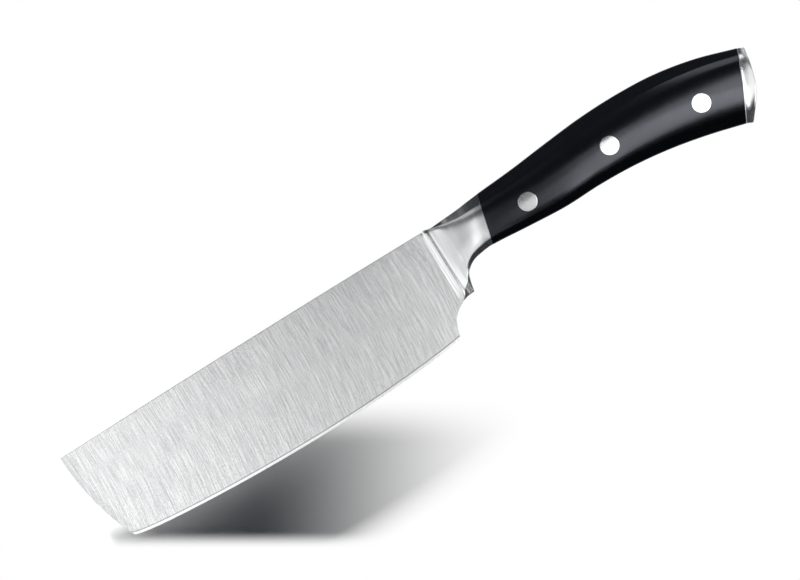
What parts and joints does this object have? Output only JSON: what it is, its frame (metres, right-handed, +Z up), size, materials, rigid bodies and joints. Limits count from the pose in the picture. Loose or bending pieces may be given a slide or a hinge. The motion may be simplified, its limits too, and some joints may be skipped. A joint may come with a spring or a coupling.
{
  "type": "vegetable knife",
  "caption": "Kitchen knife with a tall straight-backed blade forged in one with its bolster and tang, riveted black handle scales and a steel butt cap.",
  "frame": {"origin": "middle of the underside of the knife's box, with the knife lying on its right side", "axes": "+X from the tip to the butt, +Y from the edge to the spine, +Z up out of the left side"},
  "size_m": [0.3118, 0.0524, 0.0186],
  "materials": {
    "forged_steel": "ground in fine lines from spine to edge, satin bolster",
    "black_scale": "satin black, ground smooth",
    "polished_cap": "polished",
    "rivet_steel": "ground flush and polished"
  },
  "bodies": {
    "root": {"blade_forging": "forged_steel", "scale_left": "black_scale", "scale_right": "black_scale", "butt_cap": "polished_cap", "rivet_front_male": "rivet_steel", "rivet_front_female": "rivet_steel", "rivet_middle_male": "rivet_steel", "rivet_middle_female": "rivet_steel", "rivet_rear_male": "rivet_steel", "rivet_rear_female": "rivet_steel"}
  },
  "joints": []
}
